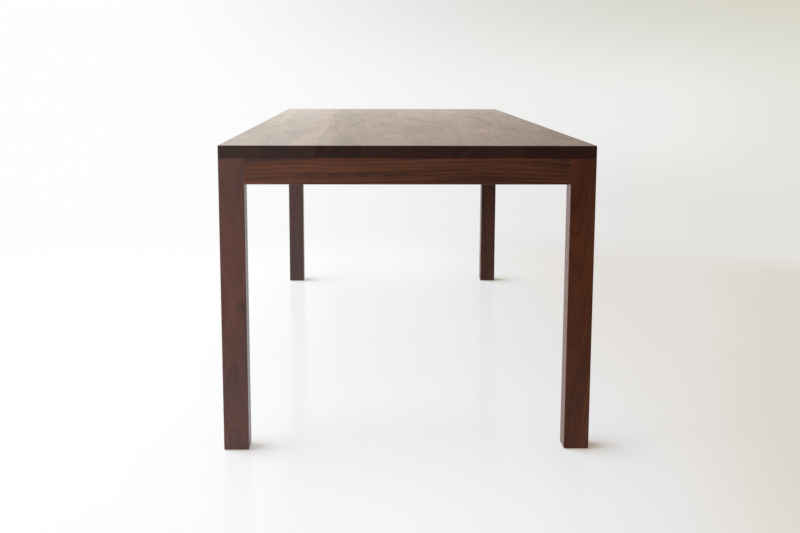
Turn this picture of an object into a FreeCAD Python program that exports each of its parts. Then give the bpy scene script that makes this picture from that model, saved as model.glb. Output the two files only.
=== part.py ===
"""Parsons dining table in solid walnut, 96 x 36 x 30 inches, in millimetres.

Frame: +Z up, +Y along the table, +X across it, origin on the floor under the middle.
"Front" is the -Y end and "left" is the -X side.

The top is glued up from long boards with biscuits in the joints. Four square legs stand
flush under its corners. Aprons, flush with the legs' outer faces, are tenoned into them,
and the two tenons in a leg are mitred where they meet. Glued and screwed blocks brace the
corners, and cross rails sit in dadoes in the side aprons. Wooden buttons and slotted screw
holes hold the top down and let it swell across its width.
"""
import FreeCAD, Part
import math
import os

# Driving dimensions
LENGTH = 2438.4
WIDTH = 914.4
HEIGHT = 762.0
TOP_THICKNESS = 31.0
LEG_SIDE = 62.0
APRON_HEIGHT = 63.0
APRON_THICKNESS = 25.0
EASE = 1.5  # radius of the sanded arrises
UNDER_EASE = 1.0  # radius of the top's lower arris

# Widths of the top's boards from the left edge; the last board takes what remains
BOARD_WIDTHS = (96.0, 76.0, 60.0, 112.0, 122.0, 120.0, 154.0, 82.0)

# Biscuits in the edge joints, a common size 20
BISCUIT_LENGTH = 56.0
BISCUIT_WIDTH = 23.0
BISCUIT_THICKNESS = 4.0
BISCUIT_SLOT_EXTRA = 1.0  # how much the slot is longer and wider than the biscuit
BISCUIT_PITCH = 300.0
BISCUITS_PER_JOINT = 8

# Mortise and tenon between apron and leg
TENON_THICKNESS = 9.0
TENON_SHOULDER = 10.0  # above and below the tenon
TENON_GAP = 1.0  # between the mitred tips and the far wall

# Cross rails under the top
RAIL_THICKNESS = 25.0
RAIL_HEIGHT = 45.0
RAIL_PITCH = 600.0
DADO_DEPTH = 8.0

# Corner blocks
BLOCK_THICKNESS = 28.0
BLOCK_HEIGHT = 45.0
BLOCK_LEG_GAP = 4.0
BLOCK_TOP_GAP = 6.0

# Tabletop buttons
BUTTON_LENGTH = 38.0
BUTTON_WIDTH = 28.0
BUTTON_THICKNESS = 19.0
BUTTON_CHAMFER = 5.0
BUTTON_GAP = 1.5  # between the button's body and the apron
TONGUE_LENGTH = 9.5
TONGUE_THICKNESS = 8.0
BUTTON_SLOT_LENGTH = 46.0
BUTTON_SLOT_HEIGHT = 9.0
BUTTON_SLOT_DEPTH = 12.0
END_BUTTON_X = (-270.0, 0.0, 270.0)
SIDE_BUTTON_Y = (-900.0, -300.0, 300.0, 900.0)

# Screws: number 8, 4.2 mm over the thread, with a square drive
SCREW_CREST_R = 2.1
SCREW_ROOT_R = 1.5
SCREW_PITCH = 2.8
SCREW_HEAD_R = 4.1
SCREW_HEAD_HEIGHT = 2.8
PAN_CROWN_R = 2.9  # radius of the flat on a pan head
SCREW_TIP_LENGTH = 4.0
DRIVE_SIDE = 3.0
DRIVE_DEPTH = 1.8
SHORT_SCREW = 32.0
LONG_SCREW = 38.0
THREAD_SHARE = 0.6  # threaded share of a screw's length
COUNTERBORE_R = 5.5
RAIL_COUNTERBORE_DEPTH = 22.0
RAIL_SCREW_X = (-300.0, 0.0, 300.0)
RAIL_SLOT_LENGTH = 10.0
BLOCK_COUNTERBORE_DEPTH = 6.8  # on the screw's axis, from the block's slanted face
WASHER_R = 5.0
WASHER_THICKNESS = 1.0

# Nylon glides, nailed into a shallow recess in each foot
GLIDE_R = 14.0
GLIDE_THICKNESS = 5.0
GLIDE_PROUD = 2.0
GLIDE_BEVEL = 1.0
GLIDE_RECESS_R = 14.5
NAIL_R = 1.5
NAIL_HEAD_R = 4.0
NAIL_HEAD_THICKNESS = 1.2
NAIL_HEAD_DEPTH = 2.0  # of the counterbore for the head
NAIL_LENGTH = 22.0

# Levels and half sizes that follow from them
HALF_W = WIDTH / 2
HALF_L = LENGTH / 2
UNDERSIDE_Z = HEIGHT - TOP_THICKNESS
APRON_BOTTOM_Z = UNDERSIDE_Z - APRON_HEIGHT
TENON_SETBACK = (APRON_THICKNESS - TENON_THICKNESS) / 2
TENON_INNER = TENON_SETBACK + TENON_THICKNESS
TENON_Z = (APRON_BOTTOM_Z + TENON_SHOULDER, UNDERSIDE_Z - TENON_SHOULDER)
BUTTON_BOTTOM_Z = UNDERSIDE_Z - BUTTON_THICKNESS
BLOCK_OUTER = 2 * LEG_SIDE + BLOCK_LEG_GAP * math.sqrt(2)
BLOCK_INNER = BLOCK_OUTER + BLOCK_THICKNESS * math.sqrt(2)
BLOCK_TOP_Z = UNDERSIDE_Z - BLOCK_TOP_GAP
BLOCK_SCREW_OFFSET = (BLOCK_OUTER + BLOCK_INNER) / 2 - APRON_THICKNESS
BLOCK_SCREW_Z = (BLOCK_TOP_Z - BLOCK_HEIGHT / 4, BLOCK_TOP_Z - 3 * BLOCK_HEIGHT / 4)
RAIL_Y = (-RAIL_PITCH, 0.0, RAIL_PITCH)

UP = FreeCAD.Vector(0, 0, 1)
ORIGIN = FreeCAD.Vector(0, 0, 0)
ACROSS = FreeCAD.Vector(1, 0, 0)
ALONG = FreeCAD.Vector(0, 1, 0)


# Plain shapes

def block(x, y, z):
    """A box between the pairs of limits x, y and z."""
    size = [high - low for low, high in (x, y, z)]
    return Part.makeBox(*size, FreeCAD.Vector(x[0], y[0], z[0]))


def prism(outline, z):
    """The closed outline, a list of (x, y), raised between the limits z."""
    points = [FreeCAD.Vector(px, py, z[0]) for px, py in outline]
    wire = Part.makePolygon(points + points[:1])
    return Part.Face(wire).extrude(UP * (z[1] - z[0]))


def rod(radius, start, direction, length):
    """A cylinder from start along direction."""
    return Part.makeCylinder(radius, length, start, direction)


def long_hole(radius, start, run, depth):
    """A slot with round ends, run long in all along X, cut upwards from start."""
    reach = run / 2 - radius
    sides = block(
        (start.x - reach, start.x + reach),
        (start.y - radius, start.y + radius),
        (start.z, start.z + depth),
    )
    ends = [rod(radius, start + ACROSS * side * reach, UP, depth) for side in (-1, 1)]
    return sides.fuse(ends)


def turned(profile):
    """A solid of revolution about Z from a closed profile of (radius, z) points."""
    points = [FreeCAD.Vector(radius, 0, z) for radius, z in profile]
    wire = Part.makePolygon(points + points[:1])
    return Part.Face(wire).revolve(ORIGIN, UP, 360)


def aimed(shape, place, direction):
    """The shape, drawn along +Z at the origin, moved to place and turned to direction."""
    moved = shape.copy()
    moved.Placement = FreeCAD.Placement(place, FreeCAD.Rotation(UP, direction))
    return moved


def eased(shape, radius, wanted):
    """The shape with a fillet on each edge whose two ends pass the test wanted."""
    edges = [e for e in shape.Edges if len(e.Vertexes) == 2]
    edges = [e for e in edges if wanted(*[v.Point for v in e.Vertexes])]
    return shape.makeFillet(radius, edges)


def flip_x(shape):
    """The mirror image on the other long side."""
    return shape.mirror(ORIGIN, ACROSS)


def flip_y(shape):
    """The mirror image at the other end."""
    return shape.mirror(ORIGIN, ALONG)


def at_corners(shape):
    """A front left piece and its mirror images, by corner name."""
    return {
        "front_left": shape,
        "front_right": flip_x(shape),
        "back_left": flip_y(shape),
        "back_right": flip_x(flip_y(shape)),
    }


def in_corner(outline, z):
    """A prism whose (x, y) points are measured inwards from the front left outer corner."""
    return prism([(px - HALF_W, py - HALF_L) for px, py in outline], z)


# Screws, nails and washers

def thread_profile(start, end):
    """(radius, z) points of a row of thread crests from start to end, then the pointed tip."""
    turns = int((end - SCREW_TIP_LENGTH - start) / SCREW_PITCH)
    profile = []
    for turn in range(turns):
        root_z = start + turn * SCREW_PITCH
        profile.append((SCREW_ROOT_R, root_z))
        profile.append((SCREW_CREST_R, root_z + SCREW_PITCH / 2))
    profile.append((SCREW_ROOT_R, start + turns * SCREW_PITCH))
    profile.append((0, end))
    return profile


def square_drive(face_z):
    """The square recess in a screw head whose outer face is at face_z."""
    half = DRIVE_SIDE / 2
    return block((-half, half), (-half, half), (face_z, face_z + DRIVE_DEPTH))


def flat_head_screw(length):
    """A countersunk screw along +Z, with the face of its head at z = 0."""
    profile = [(0, 0), (SCREW_HEAD_R, 0), (SCREW_CREST_R, SCREW_HEAD_HEIGHT)]
    profile += [(SCREW_CREST_R, length * (1 - THREAD_SHARE))]
    profile += thread_profile(length * (1 - THREAD_SHARE), length)
    return turned(profile).cut(square_drive(0))


def pan_head_screw(length):
    """A pan head screw along +Z, with the underside of its head at z = 0."""
    profile = [(0, -SCREW_HEAD_HEIGHT), (PAN_CROWN_R, -SCREW_HEAD_HEIGHT)]
    profile += [(SCREW_HEAD_R, -SCREW_HEAD_HEIGHT / 2), (SCREW_HEAD_R, 0)]
    profile += [(SCREW_CREST_R, 0), (SCREW_CREST_R, length * (1 - THREAD_SHARE))]
    profile += thread_profile(length * (1 - THREAD_SHARE), length)
    return turned(profile).cut(square_drive(-SCREW_HEAD_HEIGHT))


def glide_nail():
    """A flat-headed nail along +Z, with the underside of its head at z = 0."""
    shank_end = NAIL_LENGTH - 2 * NAIL_R
    profile = [(0, -NAIL_HEAD_THICKNESS), (NAIL_HEAD_R, -NAIL_HEAD_THICKNESS)]
    profile += [(NAIL_HEAD_R, 0), (NAIL_R, 0), (NAIL_R, shank_end), (0, NAIL_LENGTH)]
    return turned(profile)


def washer():
    """A flat washer on z = 0."""
    disc = rod(WASHER_R, ORIGIN, UP, WASHER_THICKNESS)
    return disc.cut(rod(SCREW_CREST_R, ORIGIN, UP, WASHER_THICKNESS))


# The top

def board_edges():
    """The x of each board edge across the top, from left to right."""
    edges = [-HALF_W]
    for width in BOARD_WIDTHS:
        edges.append(edges[-1] + width)
    return edges + [HALF_W]


def biscuit(extra):
    """A flat lens of two arcs, lying along Y at the origin; extra lengthens and widens it."""
    half_length = (BISCUIT_LENGTH + extra) / 2
    half_width = (BISCUIT_WIDTH + extra) / 2
    half_thickness = BISCUIT_THICKNESS / 2
    ends = [FreeCAD.Vector(0, side * half_length, -half_thickness) for side in (-1, 1)]
    edges = []
    for side in (-1, 1):
        middle = FreeCAD.Vector(side * half_width, 0, -half_thickness)
        edges.append(Part.Arc(ends[0], middle, ends[1]).toShape())
    return Part.Face(Part.Wire(edges)).extrude(UP * BISCUIT_THICKNESS)


def biscuit_places():
    """Where the biscuits lie: evenly along each joint between two boards."""
    first_y = -BISCUIT_PITCH * (BISCUITS_PER_JOINT - 1) / 2
    middle_z = UNDERSIDE_Z + TOP_THICKNESS / 2
    places = []
    for x in board_edges()[1:-1]:
        for i in range(BISCUITS_PER_JOINT):
            places.append(FreeCAD.Vector(x, first_y + i * BISCUIT_PITCH, middle_z))
    return places


def biscuits(extra=0.0):
    """One biscuit, or slot, at each place."""
    return [biscuit(extra).translated(place) for place in biscuit_places()]


def top_boards():
    """The boards of the top, cut from one eased slab with its pilot holes and biscuit slots."""
    slab = block((-HALF_W, HALF_W), (-HALF_L, HALF_L), (UNDERSIDE_Z, HEIGHT))
    slab = eased(slab, EASE, lambda a, b: max(a.z, b.z) > HEIGHT - EASE)
    slab = eased(slab, UNDER_EASE, lambda a, b: max(a.z, b.z) < UNDERSIDE_Z + UNDER_EASE)
    holes = [screw_hole(place, UP, SHORT_SCREW) for place in button_screw_places()]
    holes += [screw_hole(place, UP, LONG_SCREW) for place in rail_screw_places()]
    slots = biscuits(BISCUIT_SLOT_EXTRA)
    edges = board_edges()
    boards = {}
    for number, (left, right) in enumerate(zip(edges, edges[1:]), start=1):
        span = block((left, right), (-HALF_L, HALF_L), (UNDERSIDE_Z, HEIGHT))
        near = [s for s in slots + holes if s.BoundBox.XMin < right and s.BoundBox.XMax > left]
        boards[f"top_board_{number}"] = slab.common(span).cut(near)
    return boards


# Legs

def front_left_foot():
    """The middle of the front left leg on the floor."""
    return FreeCAD.Vector(LEG_SIDE / 2 - HALF_W, LEG_SIDE / 2 - HALF_L, 0)


def front_left_leg():
    """A square leg with an L-shaped double mortise, eased wherever no apron meets it."""
    foot_z = GLIDE_PROUD
    near_x, far_x = -HALF_W, -HALF_W + LEG_SIDE
    near_y, far_y = -HALF_L, -HALF_L + LEG_SIDE
    post = block((near_x, far_x), (near_y, far_y), (foot_z, APRON_BOTTOM_Z))
    post = eased(post, EASE, lambda a, b: min(a.z, b.z) < APRON_BOTTOM_Z - EASE)
    head = block((near_x, far_x), (near_y, far_y), (APRON_BOTTOM_Z, UNDERSIDE_Z))

    def free_corner(a, b):
        """The two upright edges that meet no apron: the outer and the inner one."""
        along_diagonal = abs((a.x - near_x) - (a.y - near_y)) < EASE
        return along_diagonal and abs(a.z - b.z) > EASE

    head = eased(head, EASE, free_corner)
    mortise = in_corner(
        [
            (LEG_SIDE, TENON_SETBACK),
            (TENON_SETBACK, TENON_SETBACK),
            (TENON_SETBACK, LEG_SIDE),
            (TENON_INNER, LEG_SIDE),
            (TENON_INNER, TENON_INNER),
            (LEG_SIDE, TENON_INNER),
        ],
        TENON_Z,
    )
    recess = rod(GLIDE_RECESS_R, front_left_foot(), UP, GLIDE_THICKNESS)
    nail_hole = rod(NAIL_R, front_left_foot(), UP, NAIL_HEAD_DEPTH + NAIL_LENGTH)
    return post.fuse(head).cut([mortise, recess, nail_hole]).removeSplitter()


def front_left_glide():
    """A nylon disc with a bevelled rim and a counterbored hole for its nail."""
    profile = [(NAIL_R, NAIL_HEAD_DEPTH), (NAIL_HEAD_R, NAIL_HEAD_DEPTH), (NAIL_HEAD_R, 0)]
    profile += [(GLIDE_R - GLIDE_BEVEL, 0), (GLIDE_R, GLIDE_BEVEL)]
    profile += [(GLIDE_R, GLIDE_THICKNESS), (NAIL_R, GLIDE_THICKNESS)]
    return turned(profile).translated(front_left_foot())


def front_left_glide_nail():
    """The nail that holds the glide, its head at the bottom of the counterbore."""
    return glide_nail().translated(front_left_foot() + UP * NAIL_HEAD_DEPTH)


# Aprons

def end_tenon():
    """The front apron's left tenon, mitred at its tip."""
    return in_corner(
        [
            (LEG_SIDE, TENON_SETBACK),
            (TENON_SETBACK + TENON_GAP, TENON_SETBACK),
            (TENON_INNER + TENON_GAP, TENON_INNER),
            (LEG_SIDE, TENON_INNER),
        ],
        TENON_Z,
    )


def side_tenon():
    """The left apron's front tenon, mitred at its tip."""
    return in_corner(
        [
            (TENON_SETBACK, LEG_SIDE),
            (TENON_SETBACK, TENON_SETBACK + TENON_GAP),
            (TENON_INNER, TENON_INNER + TENON_GAP),
            (TENON_INNER, LEG_SIDE),
        ],
        TENON_Z,
    )


def button_slot_z():
    """The limits of the slots for the buttons, whose upper wall the tongues press on."""
    top = BUTTON_BOTTOM_Z + TONGUE_THICKNESS
    return (top - BUTTON_SLOT_HEIGHT, top)


def front_apron():
    """The short apron at the front, with slots for its buttons and holes for block screws."""
    outer_y = -HALF_L
    inner_y = outer_y + APRON_THICKNESS
    reach = HALF_W - LEG_SIDE
    body = block((-reach, reach), (outer_y, inner_y), (APRON_BOTTOM_Z, UNDERSIDE_Z))
    body = eased(body, EASE, lambda a, b: max(a.z, b.z) < APRON_BOTTOM_Z + EASE and a.y == b.y)
    half_slot = BUTTON_SLOT_LENGTH / 2
    cuts = [
        block((x - half_slot, x + half_slot), (inner_y - BUTTON_SLOT_DEPTH, inner_y),
              button_slot_z())
        for x in END_BUTTON_X
    ]
    for place, direction in block_screw_places():
        if direction == -ALONG:
            hole = screw_hole(place, direction, SHORT_SCREW)
            cuts += [hole, flip_x(hole)]
    return body.fuse([end_tenon(), flip_x(end_tenon())]).cut(cuts).removeSplitter()


def left_apron():
    """The long apron on the left, with dadoes for the cross rails and slots for buttons."""
    outer_x = -HALF_W
    inner_x = outer_x + APRON_THICKNESS
    reach = HALF_L - LEG_SIDE
    body = block((outer_x, inner_x), (-reach, reach), (APRON_BOTTOM_Z, UNDERSIDE_Z))
    body = eased(body, EASE, lambda a, b: max(a.z, b.z) < APRON_BOTTOM_Z + EASE and a.x == b.x)
    half_slot = BUTTON_SLOT_LENGTH / 2
    cuts = [
        block((inner_x - BUTTON_SLOT_DEPTH, inner_x), (y - half_slot, y + half_slot),
              button_slot_z())
        for y in SIDE_BUTTON_Y
    ]
    half_rail = RAIL_THICKNESS / 2
    cuts += [
        block((inner_x - DADO_DEPTH, inner_x), (y - half_rail, y + half_rail),
              (UNDERSIDE_Z - RAIL_HEIGHT, UNDERSIDE_Z))
        for y in RAIL_Y
    ]
    for place, direction in block_screw_places():
        if direction == -ACROSS:
            hole = screw_hole(place, direction, SHORT_SCREW)
            cuts += [hole, flip_y(hole)]
    return body.fuse([side_tenon(), flip_y(side_tenon())]).cut(cuts).removeSplitter()


# Cross rails

def rail_screw_places():
    """The underside of each pan head: on a washer at the bottom of its counterbore."""
    head_z = UNDERSIDE_Z - RAIL_HEIGHT + RAIL_COUNTERBORE_DEPTH - WASHER_THICKNESS
    return [FreeCAD.Vector(x, y, head_z) for y in RAIL_Y for x in RAIL_SCREW_X]


def cross_rail(y):
    """A rail across the table at y, with counterbored holes; the outer ones are slots."""
    reach = HALF_W - APRON_THICKNESS + DADO_DEPTH
    half = RAIL_THICKNESS / 2
    bottom_z = UNDERSIDE_Z - RAIL_HEIGHT
    rail = block((-reach, reach), (y - half, y + half), (bottom_z, UNDERSIDE_Z))
    rail = eased(rail, UNDER_EASE, lambda a, b: max(a.z, b.z) < bottom_z + EASE and a.y == b.y)
    cuts = []
    for x in RAIL_SCREW_X:
        foot = FreeCAD.Vector(x, y, bottom_z)
        cuts.append(rod(COUNTERBORE_R, foot, UP, RAIL_COUNTERBORE_DEPTH))
        cuts.append(rod(SCREW_CREST_R, foot, UP, RAIL_HEIGHT))
        if x:
            cuts.append(long_hole(SCREW_CREST_R, foot, RAIL_SLOT_LENGTH, RAIL_HEIGHT))
    return rail.cut(cuts)


# Corner blocks

def screw_hole(place, direction, length):
    """The hole that a screw's thread fills, from place along direction."""
    return rod(SCREW_CREST_R, place, direction, length)


def block_screw_places():
    """(place, direction) of the front left block's four screws: the underside of each head."""
    head = BLOCK_INNER - BLOCK_SCREW_OFFSET - BLOCK_COUNTERBORE_DEPTH
    places = []
    for z in BLOCK_SCREW_Z:
        to_end = FreeCAD.Vector(BLOCK_SCREW_OFFSET - HALF_W, head - HALF_L, z)
        to_side = FreeCAD.Vector(head - HALF_W, BLOCK_SCREW_OFFSET - HALF_L, z)
        places += [(to_end, -ALONG), (to_side, -ACROSS)]
    return places


def front_left_corner_block():
    """A diagonal block between two aprons, just clear of the leg, with counterbored holes."""
    outline = [
        (BLOCK_OUTER - APRON_THICKNESS, APRON_THICKNESS),
        (BLOCK_INNER - APRON_THICKNESS, APRON_THICKNESS),
        (APRON_THICKNESS, BLOCK_INNER - APRON_THICKNESS),
        (APRON_THICKNESS, BLOCK_OUTER - APRON_THICKNESS),
    ]
    shape = in_corner(outline, (BLOCK_TOP_Z - BLOCK_HEIGHT, BLOCK_TOP_Z))
    cuts = []
    for place, direction in block_screw_places():
        cuts.append(rod(COUNTERBORE_R, place, -direction, BLOCK_THICKNESS))
        cuts.append(screw_hole(place, direction, SHORT_SCREW))
    return shape.cut(cuts)


def front_left_block_screws():
    """The four screws of one corner block."""
    screw = pan_head_screw(SHORT_SCREW)
    return Part.makeCompound([aimed(screw, p, d) for p, d in block_screw_places()])


# Buttons

def button():
    """A button along +X: its body starts at x = 0 below z = 0, its tongue points to -X."""
    side_view = [
        (0, 0),
        (BUTTON_LENGTH, 0),
        (BUTTON_LENGTH, BUTTON_CHAMFER - BUTTON_THICKNESS),
        (BUTTON_LENGTH - BUTTON_CHAMFER, -BUTTON_THICKNESS),
        (-TONGUE_LENGTH - BUTTON_GAP, -BUTTON_THICKNESS),
        (-TONGUE_LENGTH - BUTTON_GAP, TONGUE_THICKNESS - BUTTON_THICKNESS),
        (0, TONGUE_THICKNESS - BUTTON_THICKNESS),
    ]
    points = [FreeCAD.Vector(px, -BUTTON_WIDTH / 2, pz) for px, pz in side_view]
    wire = Part.makePolygon(points + points[:1])
    body = Part.Face(wire).extrude(ALONG * BUTTON_WIDTH)
    foot = FreeCAD.Vector(BUTTON_LENGTH / 2, 0, -BUTTON_THICKNESS)
    countersink = Part.makeCone(SCREW_HEAD_R, SCREW_CREST_R, SCREW_HEAD_HEIGHT, foot, UP)
    return body.cut([countersink, rod(SCREW_CREST_R, foot, UP, BUTTON_THICKNESS)])


def button_places(edge):
    """(place, turn) of the buttons along one edge; turn is in degrees about Z."""
    end = HALF_L - APRON_THICKNESS - BUTTON_GAP
    side = HALF_W - APRON_THICKNESS - BUTTON_GAP
    spots = {
        "front": [((x, -end), 90) for x in END_BUTTON_X],
        "back": [((x, end), -90) for x in END_BUTTON_X],
        "left": [((-side, y), 0) for y in SIDE_BUTTON_Y],
        "right": [((side, y), 180) for y in SIDE_BUTTON_Y],
    }
    return [(FreeCAD.Vector(x, y, UNDERSIDE_Z), turn) for (x, y), turn in spots[edge]]


def buttons(edge):
    """The buttons along one edge of the top."""
    placed = []
    for place, turn in button_places(edge):
        piece = button()
        piece.Placement = FreeCAD.Placement(place, FreeCAD.Rotation(UP, turn))
        placed.append(piece)
    return Part.makeCompound(placed)


def button_screw_places(edges=("front", "back", "left", "right")):
    """The face of each button screw's head."""
    places = []
    for edge in edges:
        for place, turn in button_places(edge):
            reach = FreeCAD.Rotation(UP, turn).multVec(ACROSS * (BUTTON_LENGTH / 2))
            places.append(place + reach - UP * BUTTON_THICKNESS)
    return places


def button_screws(edge):
    """The screws through the buttons of one edge."""
    screw = flat_head_screw(SHORT_SCREW)
    return Part.makeCompound([aimed(screw, p, UP) for p in button_screw_places((edge,))])


# Assembly

def build():
    """Every piece of the table by node name."""
    nodes = top_boards()
    nodes["top_biscuits"] = Part.makeCompound(biscuits())
    for corner, shape in at_corners(front_left_leg()).items():
        nodes[f"leg_{corner}"] = shape
    nodes["end_apron_front"] = front_apron()
    nodes["end_apron_back"] = flip_y(front_apron())
    nodes["side_apron_left"] = left_apron()
    nodes["side_apron_right"] = flip_x(left_apron())
    for name, y in zip(("front", "middle", "back"), RAIL_Y):
        nodes[f"cross_rail_{name}"] = cross_rail(y)
    for corner, shape in at_corners(front_left_corner_block()).items():
        nodes[f"corner_block_{corner}"] = shape
    for corner, shape in at_corners(front_left_block_screws()).items():
        nodes[f"corner_screws_{corner}"] = shape
    for edge in ("front", "back", "left", "right"):
        nodes[f"buttons_{edge}"] = buttons(edge)
        nodes[f"button_screws_{edge}"] = button_screws(edge)
    rail_screw = pan_head_screw(LONG_SCREW)
    screws = [aimed(rail_screw, place, UP) for place in rail_screw_places()]
    nodes["cross_rail_screws"] = Part.makeCompound(screws)
    washers = [aimed(washer(), place, UP) for place in rail_screw_places()]
    nodes["cross_rail_washers"] = Part.makeCompound(washers)
    for corner, shape in at_corners(front_left_glide()).items():
        nodes[f"foot_glide_{corner}"] = shape
    nails = at_corners(front_left_glide_nail()).values()
    nodes["foot_glide_nails"] = Part.makeCompound(list(nails))
    return nodes


def main():
    os.makedirs("parts", exist_ok=True)
    for name, shape in build().items():
        shape.exportStep(f"parts/{name}.step")
        print(f"{name}: {len(shape.Solids)} solids, {shape.Volume / 1000:.1f} cm3")


main()
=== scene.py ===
"""A long walnut dining table in the parsons style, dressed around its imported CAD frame."""
from math import radians

import bmesh
import bpy
from mathutils import Matrix, Vector


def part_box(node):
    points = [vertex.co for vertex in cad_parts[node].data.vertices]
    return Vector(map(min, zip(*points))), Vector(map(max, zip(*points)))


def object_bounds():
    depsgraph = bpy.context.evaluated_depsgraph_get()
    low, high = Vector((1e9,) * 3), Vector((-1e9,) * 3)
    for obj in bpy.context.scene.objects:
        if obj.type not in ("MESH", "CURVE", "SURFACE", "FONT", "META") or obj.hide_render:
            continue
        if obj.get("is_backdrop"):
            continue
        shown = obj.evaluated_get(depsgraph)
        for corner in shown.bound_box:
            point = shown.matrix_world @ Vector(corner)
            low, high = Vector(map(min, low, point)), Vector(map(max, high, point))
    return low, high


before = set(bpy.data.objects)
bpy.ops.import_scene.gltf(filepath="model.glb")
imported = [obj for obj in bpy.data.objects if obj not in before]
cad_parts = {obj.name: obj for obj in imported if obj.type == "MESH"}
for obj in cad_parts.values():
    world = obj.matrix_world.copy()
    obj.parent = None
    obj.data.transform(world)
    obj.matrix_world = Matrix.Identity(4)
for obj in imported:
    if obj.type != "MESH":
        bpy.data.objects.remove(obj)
size = {"frame": [list(corner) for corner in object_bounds()]}


# The top: nine boards of black walnut, planed, jointed and glued edge to edge, then sanded
# flat and rubbed with hard oil. Each board is from another part of a log, so the rings run
# through it at an angle of their own and show as arches, as straight lines or as both.

MM = 0.001

# How an upright log is turned, in degrees, so that its grain runs along each axis
GRAIN_TURN = {"X": (0, 90, 0), "Y": (-90, 0, 0), "Z": (0, 0, 0)}

# Sizes in the wood. Where there are three, two go across the log and the last along it.
WANDER_LENGTH = (200 * MM, 200 * MM, 625 * MM)
WANDER = (50 * MM, 50 * MM, 0)
RING_WIDTH = 5.5 * MM
STREAK_WIDTH = 17 * MM
CLOUD_WIDTH = 62.5 * MM
FIBRE = (1.43 * MM, 1.43 * MM, 62.5 * MM)
PORE = (0.667 * MM, 0.667 * MM, 11.1 * MM)

# Late wood darkens from one share of a ring to another, a streak pushes the rings about by up
# to so many ring widths, and it comes and goes so many times to a metre
LATE_WOOD = (0.35, 0.92)
RING_DRIFT = 3
STREAKS_TO_A_METRE = 1.3

# The tone runs from dark at 0 to light at 1. It starts near the middle, and each part of the
# figure moves it by so much.
MIDDLE_TONE = 0.42
STREAK_TONE = (-0.42, 0.58)
LATE_TONE = -0.28
CLOUD_TONE = 0.8
FIBRE_TONE = 0.6
END_FIGURE = 0.8

PORE_COLOUR = "#170b07"
PORE_SHARE = 0.55
PORE_DEPTH = 0.15 * MM
KNOT_COLOUR = "#1c0f0b"
END_TINT = "#a89cac"


def srgb(hex_colour):
    """A colour written as sRGB hex, as the linear colour that a shader takes."""
    channels = [int(hex_colour[i:i + 2], 16) / 255 for i in (1, 3, 5)]
    linear = [c / 12.92 if c <= 0.04045 else ((c + 0.055) / 1.055) ** 2.4 for c in channels]
    return (*linear, 1.0)


def add(tree, kind, sockets=None, **settings):
    """Adds a node: settings are its options, sockets its values or the outputs linked in.
    A Mix of colours has its share in 0, its colours in 6 and 7 and its result in output 2."""
    made = tree.nodes.new("ShaderNode" + kind)
    for option, value in settings.items():
        setattr(made, option, value)
    for socket, value in (sockets or {}).items():
        if isinstance(value, bpy.types.NodeSocket):
            tree.links.new(value, made.inputs[socket])
        else:
            made.inputs[socket].default_value = value
    return made


def new_material(name):
    """An empty material: its nodes, the output that its surface goes to, and itself."""
    made = bpy.data.materials.new(name)
    made.use_nodes = True
    made.node_tree.nodes.clear()
    return made.node_tree, add(made.node_tree, "OutputMaterial"), made


def place_in_log(tree, place, grain, heart, lean, seed):
    """Where a point of the piece lay in its log, whose heart runs along Z. The heart isn't
    straight: it wanders by a centimetre or so over an arm's length. Seeds are metres apart."""
    turn = [radians(a + b) for a, b in zip(GRAIN_TURN[grain], lean)]
    log = add(tree, "Mapping", {"Vector": place, "Location": heart, "Rotation": turn},
              vector_type="TEXTURE").outputs[0]
    log = add(tree, "VectorMath", {0: log, 1: (0, 0, seed)}, operation="ADD").outputs[0]
    slow = add(tree, "VectorMath", {0: log, 1: WANDER_LENGTH}, operation="DIVIDE").outputs[0]
    wander = add(tree, "TexNoise", {"Vector": slow, "Scale": 1, "Detail": 2}).outputs["Color"]
    wander = add(tree, "VectorMath", {0: wander, 1: (0.5, 0.5, 0.5)},
                 operation="SUBTRACT").outputs[0]
    return add(tree, "VectorMath", {0: wander, 1: WANDER, 2: log},
               operation="MULTIPLY_ADD").outputs[0]


def streaks_and_rings(tree, radius, along, seed):
    """Streaks of colour, some rings wide, that fade in and out over a metre or so, and the
    rings: pale early wood that darkens slowly outwards and ends at a sharp dark line."""
    count = add(tree, "Math", {0: radius, 1: STREAK_WIDTH}, operation="DIVIDE").outputs[0]
    fade = add(tree, "Math", {0: along, 1: STREAKS_TO_A_METRE}, operation="MULTIPLY").outputs[0]
    streak_at = add(tree, "CombineXYZ", {"X": count, "Y": seed, "Z": fade}).outputs[0]
    streaks = add(tree, "TexNoise", {"Vector": streak_at, "Scale": 1, "Detail": 3,
                                     "Roughness": 0.6}).outputs["Fac"]
    rings = add(tree, "Math", {0: radius, 1: RING_WIDTH}, operation="DIVIDE").outputs[0]
    rings = add(tree, "Math", {0: streaks, 1: RING_DRIFT, 2: rings},
                operation="MULTIPLY_ADD").outputs[0]
    rings = add(tree, "Math", {0: rings}, operation="FRACT").outputs[0]
    starts, ends = LATE_WOOD
    late = add(tree, "MapRange", {"Value": rings, "From Min": starts, "From Max": ends},
               interpolation_type="SMOOTHSTEP").outputs[0]
    line = add(tree, "MapRange", {"Value": rings, "From Min": ends, "From Max": 1.0},
               interpolation_type="SMOOTHSTEP").outputs[0]
    late = add(tree, "Math", {0: late, 1: line}, operation="SUBTRACT").outputs[0]
    return streaks, late


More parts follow.
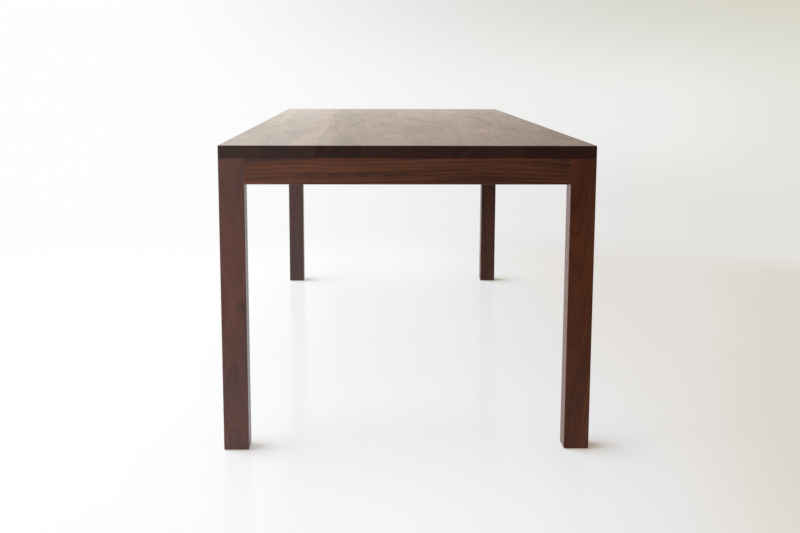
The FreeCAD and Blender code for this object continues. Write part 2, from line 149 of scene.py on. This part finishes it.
def fibres_and_pores(tree, log):
    """Fibres and, half as wide, pores, both drawn coarser than they grow so that they show."""
    fibre_at = add(tree, "VectorMath", {0: log, 1: FIBRE}, operation="DIVIDE").outputs[0]
    fibre = add(tree, "TexNoise", {"Vector": fibre_at, "Scale": 1, "Detail": 3,
                                   "Roughness": 0.6}).outputs["Fac"]
    fibre = add(tree, "Math", {0: fibre, 1: 0.5}, operation="SUBTRACT").outputs[0]
    pore_at = add(tree, "VectorMath", {0: log, 1: PORE}, operation="DIVIDE").outputs[0]
    pores = add(tree, "TexNoise", {"Vector": pore_at, "Scale": 1, "Detail": 1}).outputs["Fac"]
    pores = add(tree, "MapRange", {"Value": pores, "From Min": 0.57, "From Max": 0.66})
    return fibre, pores.outputs[0]


def walnut(name, grain, heart, lean, seed, dark="#3f2016", light="#854e34", figure=0.6,
           mottle=3.0, satin=0.33, ior=1.4, knot=None):
    """Black walnut, planed, sanded and oiled: brown heartwood with darker streaks that follow
    the rings, fine dark pores along the grain, and darker, duller end grain. heart is a point
    on the middle of the log, grain the direction of the log and lean its tilt in degrees.
    figure says how strongly rings and streaks show, mottle how many clouds there are to a
    metre and satin how rough the oiled surface is. A knot has a middle, a size each way and
    a darkness."""
    tree, output, made = new_material(name)
    place = add(tree, "TexCoord")
    log = place_in_log(tree, place.outputs["Object"], grain, heart, lean, seed)
    along = add(tree, "SeparateXYZ", {0: log}).outputs["Z"]
    across = add(tree, "VectorMath", {0: log, 1: (1, 1, 0)}, operation="MULTIPLY").outputs[0]
    radius = add(tree, "VectorMath", {0: across}, operation="LENGTH").outputs["Value"]

    # The rings part around a knot, by twice its least size and from four times its size inwards
    if knot:
        middle, reach, darkness = knot
        away = add(tree, "VectorMath", {0: place.outputs["Object"], 1: middle},
                   operation="SUBTRACT").outputs[0]
        away = add(tree, "VectorMath", {0: away, 1: reach}, operation="DIVIDE").outputs[0]
        away = add(tree, "VectorMath", {0: away}, operation="LENGTH").outputs["Value"]
        parting = add(tree, "MapRange", {"Value": away, "From Min": 4.0, "From Max": 0.0,
                                         "To Max": 2 * min(reach)},
                      interpolation_type="SMOOTHSTEP").outputs[0]
        radius = add(tree, "Math", {0: radius, 1: parting}, operation="ADD").outputs[0]

    streaks, late = streaks_and_rings(tree, radius, along, seed)
    fibre, pores = fibres_and_pores(tree, log)
    cloud_size = (CLOUD_WIDTH, CLOUD_WIDTH, 1 / mottle)
    cloud_at = add(tree, "VectorMath", {0: log, 1: cloud_size}, operation="DIVIDE").outputs[0]
    cloud = add(tree, "TexNoise", {"Vector": cloud_at, "Scale": 1, "Detail": 3}).outputs["Fac"]
    cloud = add(tree, "Math", {0: cloud, 1: 0.5}, operation="SUBTRACT").outputs[0]

    # End grain drinks more oil: darker, greyer, duller and with less figure
    facing = add(tree, "SeparateXYZ", {0: place.outputs["Normal"]}).outputs[grain]
    facing = add(tree, "Math", {0: facing}, operation="ABSOLUTE").outputs[0]
    end = add(tree, "MapRange", {"Value": facing, "From Min": 0.6, "From Max": 0.9}).outputs[0]
    swing = add(tree, "MapRange", {"Value": end, "To Min": figure,
                                   "To Max": END_FIGURE * figure}).outputs[0]

    least, most = STREAK_TONE
    tone = add(tree, "MapRange", {"Value": streaks, "From Min": 0.28, "From Max": 0.72,
                                  "To Min": least, "To Max": most}).outputs[0]
    for part, amount in ((late, LATE_TONE), (cloud, CLOUD_TONE)):
        tone = add(tree, "Math", {0: part, 1: amount, 2: tone},
                   operation="MULTIPLY_ADD").outputs[0]
    tone = add(tree, "Math", {0: tone, 1: swing, 2: MIDDLE_TONE},
               operation="MULTIPLY_ADD").outputs[0]
    tone = add(tree, "Math", {0: fibre, 1: FIBRE_TONE, 2: tone}, operation="MULTIPLY_ADD",
               use_clamp=True).outputs[0]

    colour = add(tree, "Mix", {0: tone, 6: srgb(dark), 7: srgb(light)},
                 data_type="RGBA").outputs[2]
    pore_share = add(tree, "Math", {0: pores, 1: PORE_SHARE}, operation="MULTIPLY").outputs[0]
    colour = add(tree, "Mix", {0: pore_share, 6: colour, 7: srgb(PORE_COLOUR)},
                 data_type="RGBA").outputs[2]
    if knot:
        core = add(tree, "MapRange", {"Value": away, "From Min": 1.3, "From Max": 0.4,
                                      "To Max": darkness},
                   interpolation_type="SMOOTHSTEP").outputs[0]
        colour = add(tree, "Mix", {0: core, 6: colour, 7: srgb(KNOT_COLOUR)},
                     data_type="RGBA").outputs[2]
    colour = add(tree, "Mix", {0: end, 6: colour, 7: srgb(END_TINT)}, data_type="RGBA",
                 blend_type="MULTIPLY").outputs[2]

    # Rougher where it is dark, along the fibres, in the pores and on the end grain
    rough = satin
    for part, amount in ((tone, -0.06), (fibre, 0.2), (pores, 0.15), (end, 0.15)):
        rough = add(tree, "Math", {0: part, 1: amount, 2: rough},
                    operation="MULTIPLY_ADD").outputs[0]
    relief = add(tree, "Math", {0: pores, 1: -1.0, 2: fibre}, operation="MULTIPLY_ADD").outputs[0]
    bump = add(tree, "Bump", {"Height": relief, "Strength": 0.3, "Distance": PORE_DEPTH})
    wood = add(tree, "BsdfPrincipled", {"Base Color": colour, "Roughness": rough,
                                        "IOR": ior, "Normal": bump.outputs[0]})
    tree.links.new(wood.outputs[0], output.inputs[0])
    return made


def finish_node(node, material):
    """Gives a CAD node its finish."""
    for material_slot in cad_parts[node].material_slots:
        material_slot.material = material


def heart_by(node, *offset):
    """The heart of the log that a piece was cut from, so many millimetres from its middle."""
    low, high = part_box(node)
    return (low + high) / 2 + Vector(offset) * MM


TOP_BOARDS = [
    # heart beside the middle and below it in mm, lean in degrees, dark and light, IOR, seed
    (-30, 60, (1, 0, 0), "#40261b", "#80593f", 1.42, 1),
    (40, 100, (1.5, 0, 0), "#3d2319", "#7a5239", 1.42, 2),
    (-60, 130, (1.5, 0, 0.5), "#4c2d20", "#8b6043", 1.38, 3),
    (50, 120, (0, 0, 1), "#3a2015", "#794e34", 1.33, 4),
    (10, 110, (-2, 0, 0.5), "#442617", "#88573a", 1.32, 5),
    (-50, 140, (-1.5, 0, 0.5), "#402417", "#815237", 1.32, 6),
    (60, 130, (-0.5, 0, -1), "#432619", "#87583a", 1.32, 7),
    (40, 170, (-1, 0, -1.5), "#3b2115", "#794c32", 1.3, 8),
    (-20, 150, (1, 0, 0.5), "#3f2418", "#7f5238", 1.3, 9),
]
# One board has a knot: its middle in the table's frame, its size each way and its darkness
KNOTTY_BOARD = 7
TOP_FACE = size["frame"][1][2]
TOP_KNOT = ((0.213, -0.970, TOP_FACE), (8 * MM, 40 * MM, 8 * MM), 0.95)

for number, (beside, below, lean, dark, light, ior, seed) in enumerate(TOP_BOARDS, start=1):
    node = f"top_board_{number}"
    knot = TOP_KNOT if number == KNOTTY_BOARD else None
    board = walnut(f"oiled walnut, top board {number}", "Y", heart_by(node, beside, 0, -below),
                   lean, seed, dark, light, figure=0.55, mottle=9.0, satin=0.28, ior=ior,
                   knot=knot)
    finish_node(node, board)


# The biscuits: pressed beech lenses glued into slots in the boards' edges, all out of sight
# in the finished top. Pale, dry and stamped across the grain.

FLECK = (1.11 * MM, 3.33 * MM, 1.11 * MM)


def beech(name):
    """Pressed beech: pale and dry, with short brown flecks along the grain."""
    tree, output, made = new_material(name)
    place = add(tree, "TexCoord").outputs["Object"]
    fleck_at = add(tree, "VectorMath", {0: place, 1: FLECK}, operation="DIVIDE").outputs[0]
    flecks = add(tree, "TexNoise", {"Vector": fleck_at, "Scale": 1}).outputs["Fac"]
    share = add(tree, "MapRange", {"Value": flecks, "From Min": 0.55, "From Max": 0.7}).outputs[0]
    colour = add(tree, "Mix", {0: share, 6: srgb("#cbaa80"), 7: srgb("#a27a50")},
                 data_type="RGBA").outputs[2]
    wood = add(tree, "BsdfPrincipled", {"Base Color": colour, "Roughness": 0.75})
    tree.links.new(wood.outputs[0], output.inputs[0])
    return made


finish_node("top_biscuits", beech("pressed beech"))


# The legs: four square posts, planed from thick walnut with the grain upright, mortised on
# two faces and eased along their edges by hand. They stand flush under the top's corners.

LEGS = {
    # heart beside and behind the middle in mm, lean in degrees, dark and light, IOR, seed
    "leg_front_left": (0, 50, (1.5, 0, 0), "#451e15", "#894d35", 1.6, 17),
    "leg_front_right": (-30, 110, (1.5, 1.5, 0), "#482216", "#905336", 1.3, 12),
    # The back legs are coloured darker than the front ones: painted shade for their place under
    # the top
    "leg_back_left": (50, 90, (1, -1, 0), "#301610", "#5b3224", 1.6, 13),
    "leg_back_right": (-70, -90, (1, 0.5, 0), "#371b11", "#6a3e29", 1.35, 14),
}
# So has one leg, a smaller and paler one
KNOTTY_LEG = "leg_front_left"
NEAR_FACE = size["frame"][0][1]
LEG_KNOT = ((-0.402, NEAR_FACE, 0.366), (6 * MM, 6 * MM, 9 * MM), 0.6)

for node, (beside, behind, lean, dark, light, ior, seed) in LEGS.items():
    knot = LEG_KNOT if node == KNOTTY_LEG else None
    post = walnut(f"oiled walnut, {node}", "Z", heart_by(node, beside, behind, 0), lean, seed,
                  dark, light, figure=0.55, ior=ior, knot=knot)
    finish_node(node, post)


# The aprons: four walnut rails tenoned into the legs, level with their outer faces. The short
# ones cross under the top's ends and the long ones run down its sides.

APRONS = {
    # grain, heart from the middle in mm, lean in degrees, dark and light, seed
    "end_apron_front": ("X", (0, 110, 100), (0, 0, -0.5), "#452519", "#9f5d3c", 27),
    "end_apron_back": ("X", (0, 40, 40), (0, -1, 1.5), "#422317", "#845137", 22),
    "side_apron_left": ("Y", (40, 0, -100), (1, 0, 1), "#442619", "#86563b", 23),
    "side_apron_right": ("Y", (60, 0, 20), (-1, 0, 0.5), "#432419", "#845339", 24),
}
for node, (grain, offset, lean, dark, light, seed) in APRONS.items():
    apron = walnut(f"oiled walnut, {node}", grain, heart_by(node, *offset), lean, seed,
                   dark, light, figure=0.9, satin=0.27, ior=1.46)
    finish_node(node, apron)


# The hidden frame: cross rails let into the side aprons, corner blocks, and the buttons that
# hold the top down, all of walnut offcuts.

CORNERS = ("front_left", "front_right", "back_left", "back_right")
EDGES = ("front", "back", "left", "right")
BUTTON_LIGHT = "#7a4d35"

for seed, place in enumerate(("front", "middle", "back"), start=31):
    node = f"cross_rail_{place}"
    rail = walnut(f"oiled walnut, {node}", "X", heart_by(node, 0, 60, -50), (0, 1, 1), seed)
    finish_node(node, rail)
for seed, corner in enumerate(CORNERS, start=41):
    node = f"corner_block_{corner}"
    turn = -45 if corner in ("front_right", "back_left") else 45
    block = walnut(f"oiled walnut, corner block {corner}", "X", heart_by(node, 0, 70, -50),
                   (0, 2, turn), seed)
    finish_node(node, block)
for seed, edge in enumerate(EDGES, start=51):
    node = f"buttons_{edge}"
    grain = "Y" if edge in ("front", "back") else "X"
    button = walnut(f"oiled walnut, buttons {edge}", grain, heart_by(node, 0, 0, -50),
                    (0, 1, 1), seed, light=BUTTON_LIGHT)
    finish_node(node, button)


# Screws, washers and nails: bright zinc plate over steel. They hold the rails, the blocks, the
# buttons and the glides, and show only from underneath.

BLOOM_WIDTH = 3.33 * MM


def zinc(name):
    """Zinc-plated steel: a soft grey metal with a faint bluish and yellowish bloom."""
    tree, output, made = new_material(name)
    place = add(tree, "TexCoord").outputs["Object"]
    bloom = add(tree, "TexNoise", {"Vector": place, "Scale": 1 / BLOOM_WIDTH,
                                   "Detail": 2}).outputs["Fac"]
    colour = add(tree, "Mix", {0: bloom, 6: srgb("#aab0b6"), 7: srgb("#c8c3b4")},
                 data_type="RGBA").outputs[2]
    rough = add(tree, "MapRange", {"Value": bloom, "To Min": 0.25, "To Max": 0.45}).outputs[0]
    metal = add(tree, "BsdfPrincipled", {"Base Color": colour, "Roughness": rough,
                                         "Metallic": 1.0})
    tree.links.new(metal.outputs[0], output.inputs[0])
    return made


plate = zinc("zinc-plated steel")
for corner in CORNERS:
    finish_node(f"corner_screws_{corner}", plate)
for edge in EDGES:
    finish_node(f"button_screws_{edge}", plate)
for node in ("cross_rail_screws", "cross_rail_washers", "foot_glide_nails"):
    finish_node(node, plate)


# The glides: moulded nylon discs, dark brown, nailed into a recess under each leg. They keep
# the end grain of the legs off the floor.

SKIN_GRAIN = 1.11 * MM


def nylon(name):
    """Moulded nylon: dark brown with a fine, slightly uneven matt skin."""
    tree, output, made = new_material(name)
    place = add(tree, "TexCoord").outputs["Object"]
    skin = add(tree, "TexNoise", {"Vector": place, "Scale": 1 / SKIN_GRAIN,
                                  "Detail": 3}).outputs["Fac"]
    colour = add(tree, "Mix", {0: skin, 6: srgb("#221c19"), 7: srgb("#332b26")},
                 data_type="RGBA").outputs[2]
    bump = add(tree, "Bump", {"Height": skin, "Strength": 0.2, "Distance": 0.1 * MM})
    plastic = add(tree, "BsdfPrincipled", {"Base Color": colour, "Roughness": 0.5,
                                           "IOR": 1.53, "Normal": bump.outputs[0]})
    tree.links.new(plastic.outputs[0], output.inputs[0])
    return made


moulded = nylon("dark nylon")
for corner in CORNERS:
    finish_node(f"foot_glide_{corner}", moulded)


# The floor: pale and worn smooth, sealed with a satin coat. It is one wide sheet, and some
# steps beyond the table it gives way to the room's own tones. Most of what shows of it is a
# glow with painted light from the window and painted shadow beside the table's feet.

FLOOR_REACH = 9.0
WORN_PATCH = 1 / 3
# The share of what is seen of the floor that glows in its tone with painted light and shadow
PAINTED_GLOW_SHARE = 0.78
TOWARDS_WINDOW = (-0.94, 0, 0.34)
# How far the painted shadow beside the feet reaches
PAINTED_SHADOW_REACH = 200 * MM

# The floor fades out between these distances beyond the table, in metres
FADE_FROM = 0.35
FADE_TO = 1.75

floor_mesh = bpy.data.meshes.new("floor")
surface = bmesh.new()
bmesh.ops.create_grid(surface, x_segments=1, y_segments=1, size=FLOOR_REACH)
surface.to_mesh(floor_mesh)
surface.free()
floor = bpy.data.objects.new("floor", floor_mesh)
bpy.context.scene.collection.objects.link(floor)


def painted_floor_light(tree, place, across):
    """The floor's tone with painted light on it: white by the window, then greyer away from it
    and warmer at the right edge, both painted shade. across is how far right of the middle a
    point lies, in metres."""
    # White by the window and greyer away from it: painted light and painted shade
    side = add(tree, "MapRange", {"Value": across, "From Min": -0.1, "From Max": 1.1},
               interpolation_type="SMOOTHSTEP").outputs[0]
    warm_side = add(tree, "MapRange", {"Value": across, "From Min": 0.4, "From Max": 0.7},
                    interpolation_type="SMOOTHSTEP").outputs[0]
    side_tone = add(tree, "Mix", {0: warm_side, 6: srgb("#dedfdf"), 7: srgb("#e9e5df")},
                    data_type="RGBA").outputs[2]
    tone = add(tree, "Mix", {0: side, 6: srgb("#fefeff"), 7: side_tone},
               data_type="RGBA").outputs[2]
    # The right edge is made darker and warmer: painted shade
    edge = add(tree, "VectorMath", {0: place, 1: (1, -0.3, 0)},
               operation="DOT_PRODUCT").outputs["Value"]
    edge = add(tree, "MapRange", {"Value": edge, "From Min": 1.0, "From Max": 1.4},
               interpolation_type="SMOOTHSTEP").outputs[0]
    return add(tree, "Mix", {0: edge, 6: tone, 7: srgb("#f7f3eb")}, data_type="RGBA",
               blend_type="MULTIPLY").outputs[2]


def with_painted_shadow(tree, tone, across):
    """The tone with a soft shade beside what stands on it, on the side away from the window,
    cool on the left and warm on the right."""
    towards_window = add(tree, "CombineXYZ", dict(zip("XYZ", TOWARDS_WINDOW))).outputs[0]
    # Painted shadow: where occlusion towards the window is low, the tone is darkened to a shade
    # tint
    unshadowed = add(tree, "AmbientOcclusion", {"Distance": PAINTED_SHADOW_REACH, "Normal": towards_window},
                samples=16).outputs["AO"]
    unshadowed = add(tree, "MapRange", {"Value": unshadowed, "From Min": 0.45, "From Max": 0.95},
                interpolation_type="SMOOTHSTEP").outputs[0]
    warmth = add(tree, "MapRange", {"Value": across, "From Min": -0.3, "From Max": 0.4}).outputs[0]
    shade = add(tree, "Mix", {0: warmth, 6: srgb("#c9c2bc"), 7: srgb("#b3a38b")},
                data_type="RGBA").outputs[2]
    shaded = add(tree, "Mix", {0: 1.0, 6: tone, 7: shade}, data_type="RGBA",
                 blend_type="MULTIPLY").outputs[2]
    return add(tree, "Mix", {0: unshadowed, 6: shaded, 7: tone}, data_type="RGBA").outputs[2]


def floor_fade(tree, place):
    """How far the floor has given way to the room, by how far it lies beyond the table. The
    fade is scattered finely, so that no line shows where the floor gives way."""
    beyond = add(tree, "VectorMath", {0: place}, operation="ABSOLUTE").outputs[0]
    beyond = add(tree, "VectorMath", {0: beyond, 1: size["frame"][1]},
                 operation="SUBTRACT").outputs[0]
    beyond = add(tree, "VectorMath", {0: beyond, 1: (0, 0, 0)}, operation="MAXIMUM").outputs[0]
    beyond = add(tree, "VectorMath", {0: beyond}, operation="LENGTH").outputs["Value"]
    fade = add(tree, "MapRange", {"Value": beyond, "From Min": FADE_FROM, "From Max": FADE_TO},
               interpolation_type="SMOOTHSTEP").outputs[0]
    spread = add(tree, "Math", {0: 1.0, 1: fade}, operation="SUBTRACT").outputs[0]
    spread = add(tree, "Math", {0: spread, 1: fade}, operation="MULTIPLY").outputs[0]
    grains = add(tree, "TexWhiteNoise", {"Vector": place}).outputs["Value"]
    grains = add(tree, "MapRange", {"Value": grains, "To Min": -1.0}).outputs[0]
    return add(tree, "Math", {0: grains, 1: spread, 2: fade}, operation="MULTIPLY_ADD").outputs[0]


def sealed_floor(name):
    """A pale floor sealed with a satin coat. About three quarters of what is seen of it is a glow
    in its tone, with painted light and painted shadow in it, so the lamps' shadows stay faint,
    and the table gets a duller light back from it than it shows."""
    tree, output, made = new_material(name)
    place = add(tree, "TexCoord").outputs["Object"]
    across = add(tree, "SeparateXYZ", {0: place}).outputs["X"]
    worn = add(tree, "TexNoise", {"Vector": place, "Scale": 1 / WORN_PATCH,
                                  "Detail": 4}).outputs["Fac"]
    path = add(tree, "LightPath")
    seen = add(tree, "Math", {0: path.outputs["Is Camera Ray"],
                              1: path.outputs["Is Glossy Ray"]}, operation="MAXIMUM").outputs[0]
    colour = add(tree, "Mix", {0: worn, 6: srgb("#e6e8f0"), 7: srgb("#ecf0f6")},
                 data_type="RGBA").outputs[2]
    colour = add(tree, "Mix", {0: seen, 6: srgb("#c6c5c3"), 7: colour},
                 data_type="RGBA").outputs[2]
    rough = add(tree, "MapRange", {"Value": worn, "To Min": 0.12, "To Max": 0.16}).outputs[0]
    coat = add(tree, "BsdfPrincipled", {"Base Color": colour, "Roughness": rough, "IOR": 1.35})
    tone = with_painted_shadow(tree, painted_floor_light(tree, place, across), across)
    # The floor glows in its tone, which carries painted light and painted shadow
    pale = add(tree, "Emission", {"Color": tone, "Strength": 1.0})
    share = add(tree, "Math", {0: seen, 1: PAINTED_GLOW_SHARE}, operation="MULTIPLY").outputs[0]
    lit = add(tree, "MixShader", {0: share, 1: coat.outputs[0], 2: pale.outputs[0]})
    clear = add(tree, "BsdfTransparent")
    both = add(tree, "MixShader", {0: floor_fade(tree, place), 1: lit.outputs[0],
                                   2: clear.outputs[0]})
    tree.links.new(both.outputs[0], output.inputs[0])
    return made


floor_mesh.materials.append(sealed_floor("sealed pale floor"))
floor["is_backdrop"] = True


# The room: white walls by the window, greyer and warmer ones across from it, and a dim corner
# behind the near end that the oiled wood mirrors. It gives only a little light of its own.

SPANS = {
    # part of the direction, where the span begins and where it is full, and how it rises
    "right": ("X", -0.22, 0.26, "SMOOTHSTEP"),
    "rather right": ("X", 0.02, 0.22, "SMOOTHSTEP"),
    "far right": ("X", 0.22, 0.36, "SMOOTHSTEP"),
    "warm side": ("X", 0.0, 0.3, "LINEAR"),
    "daylight": ("X", 0.0, -0.1, "SMOOTHSTEP"),
    "unlit": ("X", -0.15, 0.08, "SMOOTHSTEP"),
    "beyond": ("Y", 0.0, 0.6, "SMOOTHSTEP"),
    "behind": ("Y", -0.2, -0.9, "SMOOTHSTEP"),
    "near ground": ("Z", -0.15, -0.165, "LINEAR"),
    "above ground": ("Z", -0.2, -0.08, "SMOOTHSTEP"),
    "wall foot": ("Z", -0.11, -0.05, "SMOOTHSTEP"),
    "wall": ("Z", -0.03, 0.07, "SMOOTHSTEP"),
    "upper wall": ("Z", 0.05, 0.16, "SMOOTHSTEP"),
}
ROOM_LIGHT = 0.12

world = bpy.data.worlds.new("room")
bpy.context.scene.world = world
world.use_nodes = True
tree = world.node_tree
tree.nodes.clear()
direction = add(tree, "SeparateXYZ", {0: add(tree, "TexCoord").outputs["Generated"]})
path = add(tree, "LightPath")
mirrored = path.outputs["Is Glossy Ray"]
share = {}
for span, (axis, begins, full, rise) in SPANS.items():
    share[span] = add(tree, "MapRange", {"Value": direction.outputs[axis], "From Min": begins,
                                         "From Max": full}, interpolation_type=rise).outputs[0]

# Where two of them meet. Some meetings are part of a later one.
MEETINGS = {
    "edge": ("far right", "beyond"),
    "edge of ground": ("near ground", "edge"),
    "corner": ("right", "wall"),
    "upper far wall": ("upper wall", "beyond"),
    "upper far corner": ("upper far wall", "rather right"),
    "wall behind": ("behind", "wall"),
}
for meeting, (one, other) in MEETINGS.items():
    share[meeting] = add(tree, "Math", {0: share[one], 1: share[other]},
                         operation="MULTIPLY").outputs[0]

# What only the sheen of the wood shows of the room behind the near end
share["sheen"] = add(tree, "Math", {0: share["behind"], 1: mirrored},
                     operation="MULTIPLY").outputs[0]
for part in ("daylight", "above ground", "unlit"):
    share[f"sheen {part}"] = add(tree, "Math", {0: share[part], 1: share["sheen"]},
                                 operation="MULTIPLY").outputs[0]

low_tone = add(tree, "Mix", {0: share["warm side"], 6: srgb("#e6e6ea"), 7: srgb("#e4e2dd")},
               data_type="RGBA").outputs[2]
low_tone = add(tree, "Mix", {0: share["edge of ground"], 6: low_tone, 7: srgb("#f7f3eb")},
               data_type="RGBA", blend_type="MULTIPLY").outputs[2]
high_tone = add(tree, "Mix", {0: share["edge"], 6: srgb("#ececea"), 7: srgb("#e4e4dd")},
                data_type="RGBA").outputs[2]
right_tone = add(tree, "Mix", {0: share["wall foot"], 6: low_tone, 7: high_tone},
                 data_type="RGBA").outputs[2]
corner_tone = add(tree, "Mix", {0: share["warm side"], 6: srgb("#dadada"), 7: srgb("#d6d4c5")},
                  data_type="RGBA").outputs[2]
behind_tone = add(tree, "Mix", {0: share["right"], 6: srgb("#e8e6e2"), 7: srgb("#cbc8c3")},
                  data_type="RGBA").outputs[2]

# The tones are laid one over another, from white. At a strength of 1 they show as written.
wall = srgb("#fefefe")
TONES = [
    # where it goes, how it is laid over what is there, and the tone
    ("right", "MIX", right_tone),
    ("corner", "MIX", corner_tone),
    ("upper far wall", "MULTIPLY", srgb("#fcf6e2")),
    ("upper far corner", "MIX", srgb("#857c6e")),
    ("wall behind", "MIX", behind_tone),
    ("sheen daylight", "MULTIPLY", srgb("#daedff")),
    ("sheen above ground", "MULTIPLY", srgb("#dcdcdc")),
    ("sheen unlit", "MIX", srgb("#2c2a28")),
]
for where, blend, tone in TONES:
    wall = add(tree, "Mix", {0: share[where], 6: wall, 7: tone}, data_type="RGBA",
               blend_type=blend).outputs[2]

seen = add(tree, "Background", {"Color": wall, "Strength": 1.0})
light = add(tree, "Background", {"Color": srgb("#f4f4f6"), "Strength": ROOM_LIGHT})
shown = add(tree, "Math", {0: path.outputs["Is Camera Ray"], 1: mirrored},
            operation="MAXIMUM").outputs[0]
shown = add(tree, "Math", {0: shown, 1: path.outputs["Is Transmission Ray"]},
            operation="MAXIMUM").outputs[0]
room = add(tree, "MixShader", {0: shown, 1: light.outputs[0], 2: seen.outputs[0]})
tree.links.new(room.outputs[0], add(tree, "OutputWorld").inputs[0])


# The light: a wide window on the left, another far beyond the table, a pale wall past its far
# end, an open door behind on the left, and a soft ceiling. Sizes are in metres.

def lamp(name, place, target, width, height, watts, colour="#ffffff", mirrored=True):
    """A rectangular area lamp at place that faces target. A mirrored one shows in gloss."""
    data = bpy.data.lights.new(name, "AREA")
    data.shape = "RECTANGLE"
    data.size = width
    data.size_y = height
    data.energy = watts
    data.color = srgb(colour)[:3]
    made = bpy.data.objects.new(name, data)
    aim = (Vector(target) - Vector(place)).to_track_quat("-Z", "Y")
    made.matrix_world = Matrix.Translation(place) @ aim.to_matrix().to_4x4()
    made.visible_camera = False
    made.visible_glossy = mirrored
    bpy.context.scene.collection.objects.link(made)


lamp("window", (-2.4, -0.4, 1.1), (0, -0.4, 0.8), 4.8, 2.2, 100, mirrored=False)
lamp("far window", (-2.6, 6.5, 1.6), (-0.2, 0, 0.8), 4.5, 3.2, 12)
lamp("wall beyond", (-0.4, 1.7, 0.78), (-0.4, 0, 0.78), 3.2, 0.35, 1.5)
lamp("door", (-1.9, -3.7, 1.3), (-0.1, -1.2, 0.4), 2.2, 2.0, 20)
lamp("ceiling", (-0.1, 0.5, 3.4), (-0.1, 0.5, 0), 4.6, 4.6, 140, "#fffdfa")


# The camera: at eye level beyond the near end, a little left of the middle, and tipped down
# at the table. The lens and the sensor are in millimetres, the angles in degrees.

LENS = 53.53
SENSOR = 36.0
STAND = (-0.0822, -4.0874, 0.9523)
HEADING = -1.273
TIPPED_DOWN = 9.598
ROLL = 0.16

camera_data = bpy.data.cameras.new("camera")
camera_data.lens = LENS
camera_data.sensor_width = SENSOR
camera = bpy.data.objects.new("camera", camera_data)
bpy.context.scene.collection.objects.link(camera)
heading = Matrix.Rotation(radians(HEADING), 4, "Z")
tilt = Matrix.Rotation(radians(90 - TIPPED_DOWN), 4, "X")
roll = Matrix.Rotation(radians(ROLL), 4, "Z")
camera.matrix_world = Matrix.Translation(STAND) @ heading @ tilt @ roll
bpy.context.scene.camera = camera
bpy.context.scene.view_settings.view_transform = "Standard"

size["dressed"] = [list(corner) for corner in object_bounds()]
